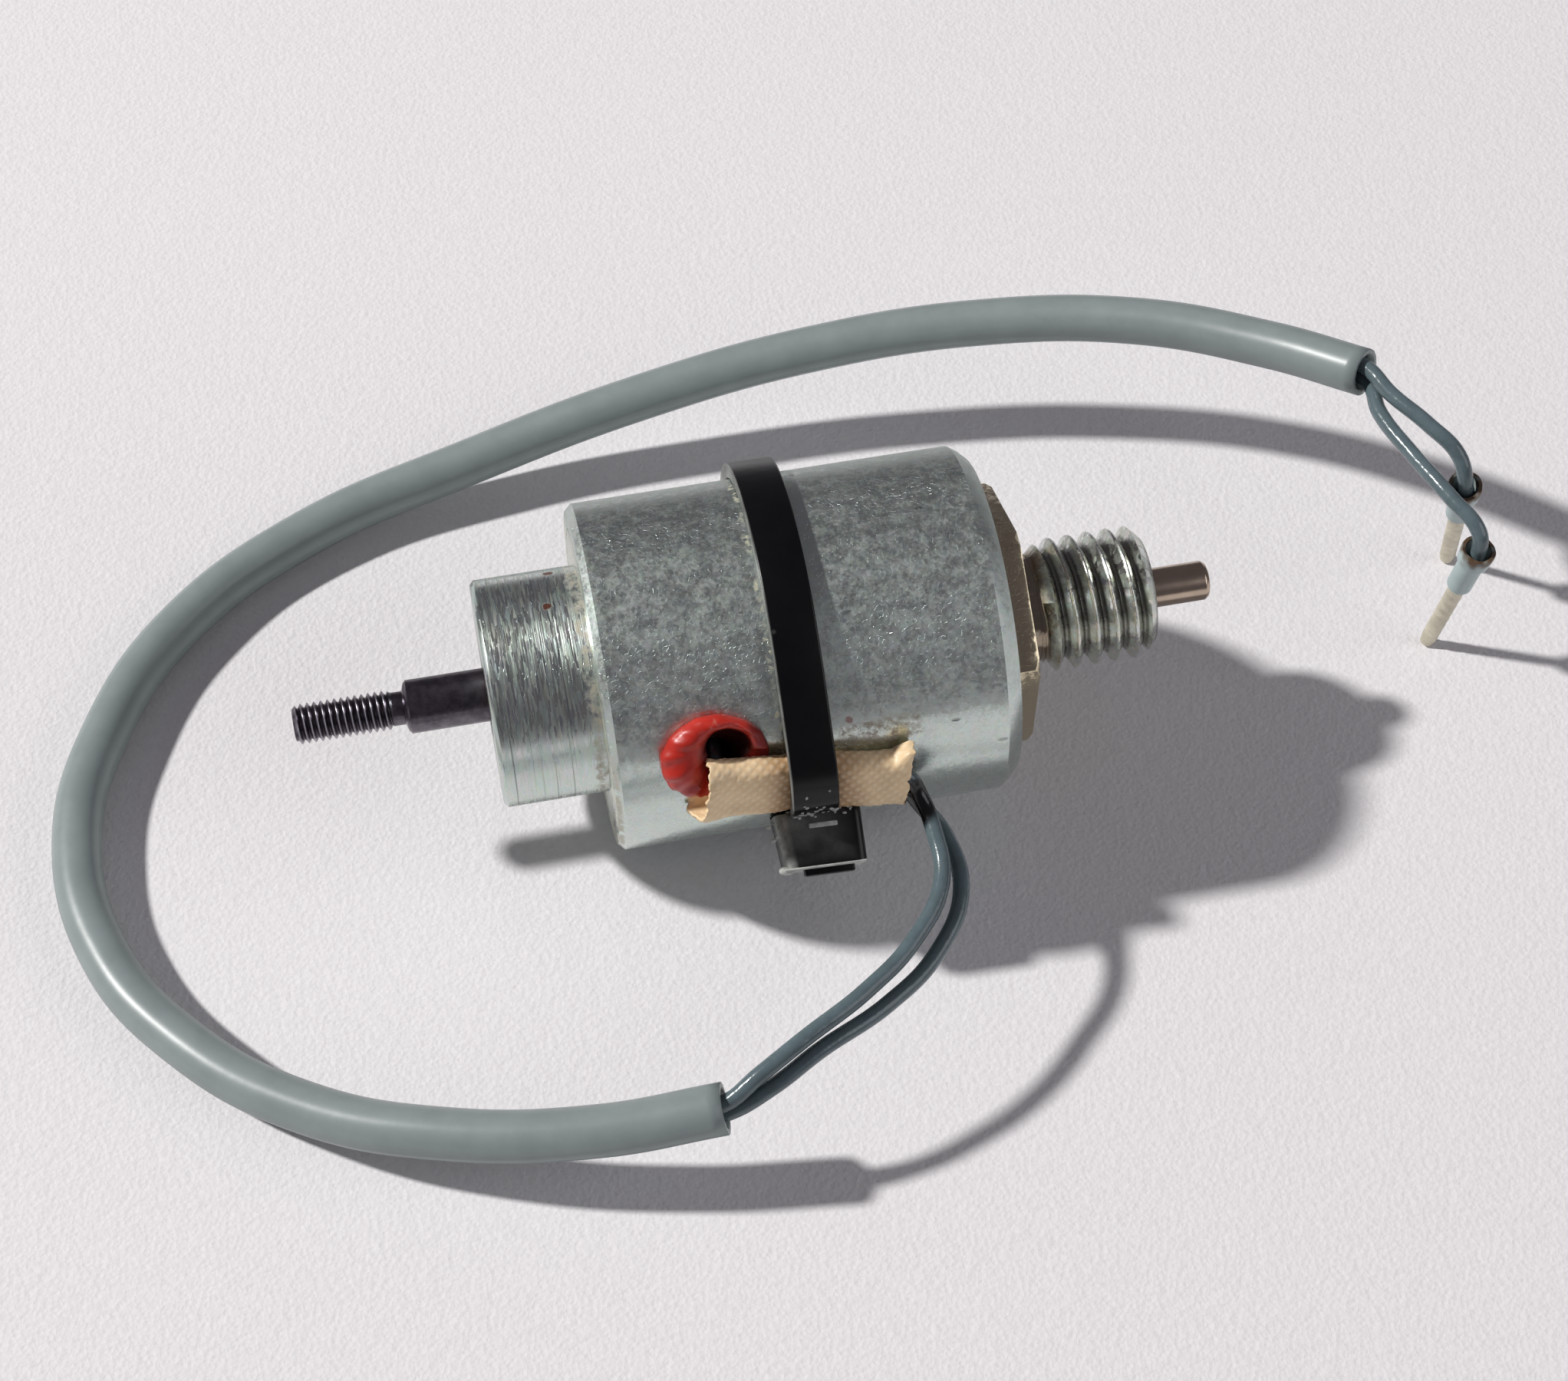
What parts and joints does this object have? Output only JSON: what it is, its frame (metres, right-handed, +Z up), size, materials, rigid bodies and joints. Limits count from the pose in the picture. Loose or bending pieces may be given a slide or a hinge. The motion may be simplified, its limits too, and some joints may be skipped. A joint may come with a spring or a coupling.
{
  "type": "push pull solenoid",
  "caption": "Tubular push pull solenoid: a plunger with a threaded pull rod and a push pin slides in a round steel housing with a hex flange and a threaded nose.",
  "frame": {"origin": "on the plunger's axis, in the front face of the hex flange, which seats on the panel", "axes": "+X along the plunger's axis towards the push pin, +Z up when the solenoid lies on its cable tie, -Y towards the side with the lead outlet"},
  "size_m": [0.1139, 0.0716, 0.0284],
  "materials": {
    "plated_steel": "satin zinc plate, mottled and lightly scratched",
    "turned_steel": "turned and zinc plated, fine circular lines",
    "pole_steel": "zinc plated hex and rolled thread",
    "bush_bronze": "sintered bronze",
    "bumper_rubber": "matt black nitrile rubber",
    "brass_tube": "drawn brass",
    "red_fibre": "vulcanised fibre",
    "bobbin_plastic": "glass filled nylon",
    "copper_wire": "enamelled copper wire",
    "yellow_tape": "polyester film tape",
    "splice_sleeve": "heat shrink sleeving",
    "plunger_steel": "ground and plated",
    "black_oxide": "black oxide with a purple tint",
    "polished_steel": "polished stainless steel",
    "red_silicone": "glossy red silicone",
    "glass_fibre": "woven and varnished glass fibre",
    "tie_plastic": "black nylon",
    "lead_insulation": "dark blue-green insulation",
    "tube_vinyl": "grey-green PVC",
    "tinned_copper": "tinned copper, crimped",
    "ferrule_plastic": "pale blue polypropylene"
  },
  "bodies": {
    "fixed_body": {"housing_tube": "plated_steel", "rear_end_piece": "turned_steel", "rod_bush": "bush_bronze", "rear_bumper": "bumper_rubber", "guide_tube": "brass_tube", "fibre_washer": "red_fibre", "bobbin": "bobbin_plastic", "coil_winding": "copper_wire", "winding_tape": "yellow_tape", "lead_splices": "splice_sleeve", "front_pole": "pole_steel", "pin_bush": "bush_bronze", "lead_grommet": "red_silicone", "glass_sleeve": "glass_fibre", "cable_tie": "tie_plastic", "lead_a": "lead_insulation", "lead_b": "lead_insulation", "lead_tube": "tube_vinyl", "ferrule_pin_a": "tinned_copper", "ferrule_pin_b": "tinned_copper", "ferrule_collar_a": "ferrule_plastic", "ferrule_collar_b": "ferrule_plastic"},
    "plunger_set": {"plunger": "plunger_steel", "plunger_rod": "black_oxide", "push_pin": "polished_steel", "residual_washer": "brass_tube"}
  },
  "joints": [
    {"name": "plunger_slide", "type": "slide", "parent": "fixed_body", "child": "plunger_set", "axis": [1, 0, 0], "range_m": [0, 0.005]}
  ]
}
